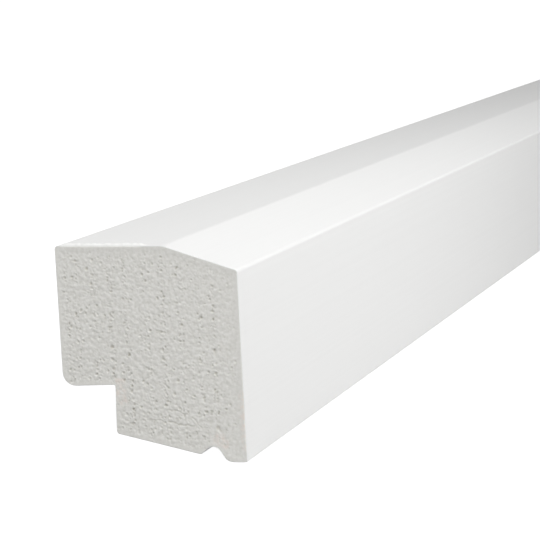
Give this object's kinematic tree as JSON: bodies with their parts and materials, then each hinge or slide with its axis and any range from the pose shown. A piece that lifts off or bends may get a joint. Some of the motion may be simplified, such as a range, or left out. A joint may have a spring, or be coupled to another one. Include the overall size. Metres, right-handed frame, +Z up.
{
  "type": "sill moulding",
  "caption": "Straight length of white foamed PVC window sill moulding with a sloped weather face, a rabbet at the back of its underside, and a drip lip and groove at the front.",
  "frame": {"origin": "middle of the length and of the front-to-back extent, on the floor that the stick lies on", "axes": "+X along the length, -Y towards the weather side, +Z up from the floor; the section is tipped back 13 degrees from how it is fixed to a wall, flat on its sloping underside"},
  "size_m": [2.4384, 0.0544, 0.046],
  "materials": {
    "cellular_pvc": "satin white extruded skin, rough foamed grain on the sawn ends"
  },
  "bodies": {
    "root": {"sill_moulding": "cellular_pvc"}
  },
  "joints": []
}
